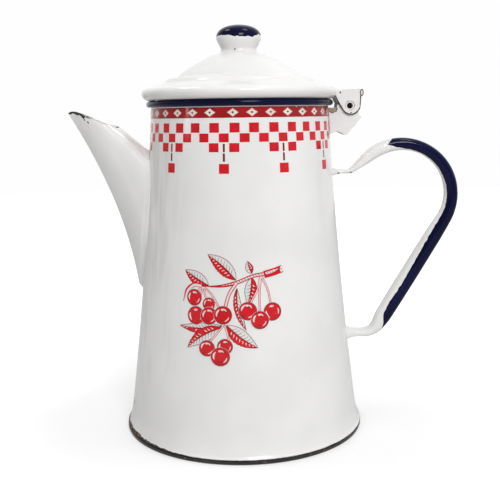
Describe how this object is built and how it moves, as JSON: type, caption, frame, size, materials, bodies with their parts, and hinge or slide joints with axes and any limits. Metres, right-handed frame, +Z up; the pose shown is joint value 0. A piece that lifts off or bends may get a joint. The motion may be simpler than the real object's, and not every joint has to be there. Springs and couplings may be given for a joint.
{
  "type": "coffee pot",
  "caption": "Tall tapered enamelled steel coffee pot with a long spout, a looped tubular handle and a domed lid hinged at the back.",
  "frame": {"origin": "centre of the flat underside of the base, on the pot's own axis", "axes": "+Z up through the lid's knob, -X towards the spout, +X towards the handle and the lid's hinge, +Y across the pot"},
  "size_m": [0.209, 0.13, 0.2162],
  "materials": {
    "body_enamel": "glossy",
    "wire_steel": "dull",
    "base_enamel": "satin",
    "spout_enamel": "glossy",
    "grip_enamel": "glossy",
    "strap_enamel": "glossy",
    "bracket_enamel": "glossy",
    "pin_steel": "dull",
    "lid_enamel": "glossy",
    "collar_enamel": "glossy",
    "knob_enamel": "glossy",
    "leaf_enamel": "glossy"
  },
  "bodies": {
    "pot": {"body_shell": "body_enamel", "rim_wire": "wire_steel", "base_pan": "base_enamel", "spout_shell": "spout_enamel", "handle_grip": "grip_enamel", "handle_upper_strap": "strap_enamel", "handle_lower_strap": "strap_enamel", "hinge_bracket": "bracket_enamel", "hinge_pin": "pin_steel"},
    "lid": {"lid_shell": "lid_enamel", "lid_collar": "collar_enamel", "lid_knob": "knob_enamel", "lid_hinge_leaf": "leaf_enamel"}
  },
  "joints": [
    {"name": "lid_hinge", "type": "hinge", "parent": "pot", "child": "lid", "pos_m": [0.0576, 0, 0.1735], "axis": [0, 1, 0], "range_deg": [0, 80]}
  ]
}
